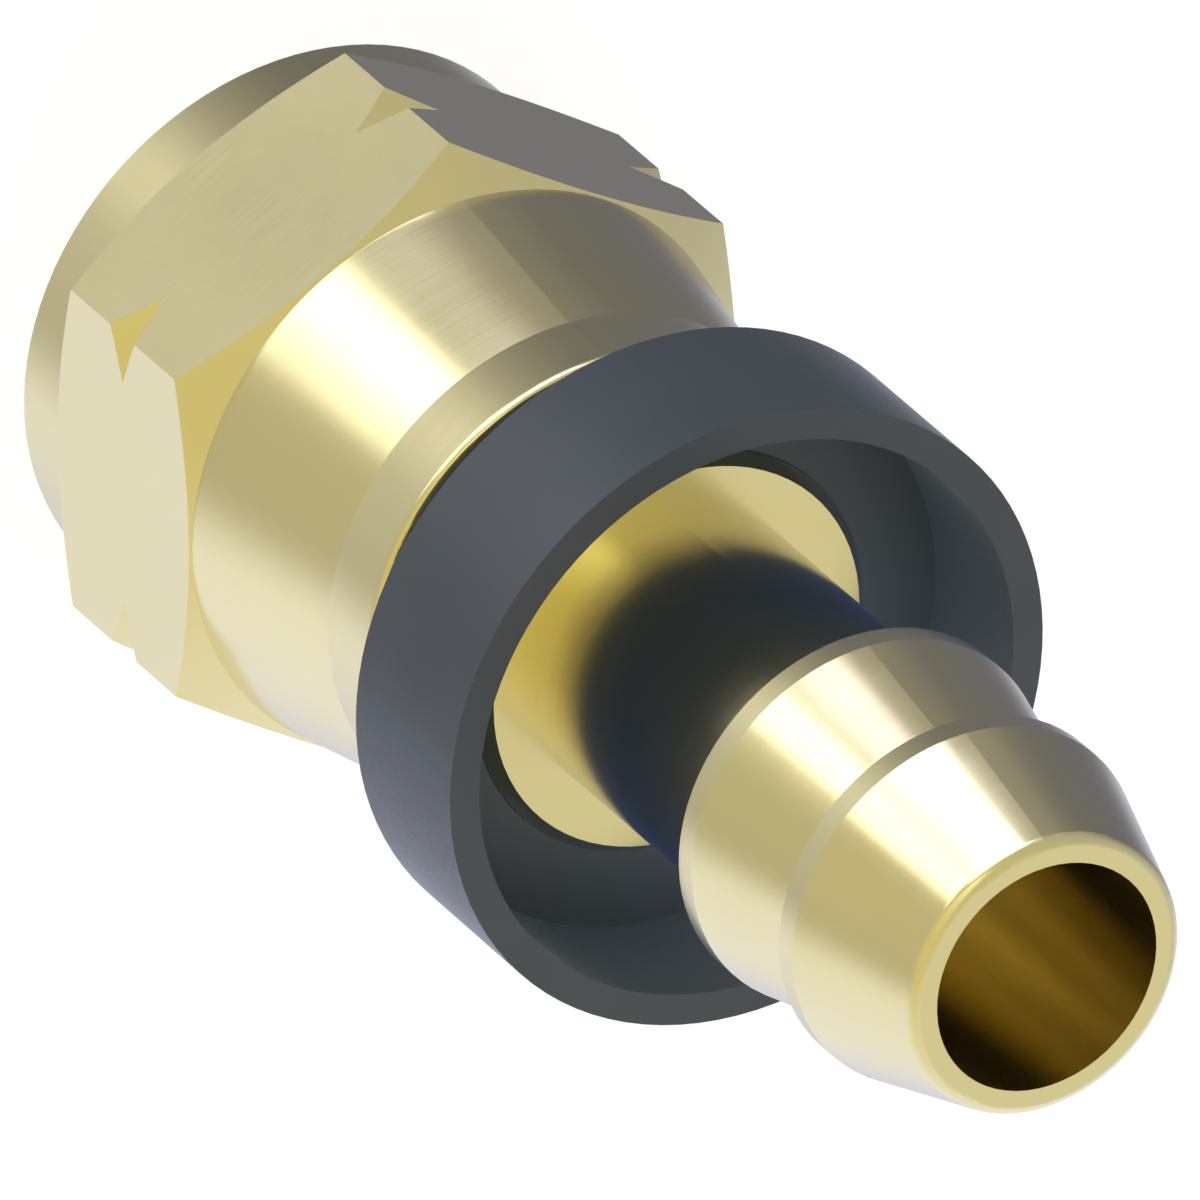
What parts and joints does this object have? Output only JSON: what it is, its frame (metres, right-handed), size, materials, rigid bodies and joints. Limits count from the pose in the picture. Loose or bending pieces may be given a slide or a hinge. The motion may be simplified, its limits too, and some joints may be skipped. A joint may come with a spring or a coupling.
{
  "type": "push-on hydraulic hose fitting",
  "caption": "Brass push-on hose fitting: barbed hose stem with a flare seat, a free-turning threaded hexagon nut and a black cup-shaped hose collar.",
  "frame": {"origin": "centre of the nut's open end face, which the part stands on", "axes": "+Z along the fitting's axis towards the hose end; a corner of the hexagon points along +X"},
  "size_m": [0.0202, 0.0188, 0.0413],
  "materials": {
    "brass": "bright turned brass, polished",
    "collar_plastic": "moulded black nylon with a faint sheen"
  },
  "bodies": {
    "stem": {"hose_stem": "brass", "collar": "collar_plastic"},
    "nut": {"swivel_nut": "brass"}
  },
  "joints": [
    {"name": "nut_swivel", "type": "hinge", "parent": "stem", "child": "nut", "pos_m": [0, 0, 0.009], "axis": [0, 0, 1], "continuous": true}
  ]
}
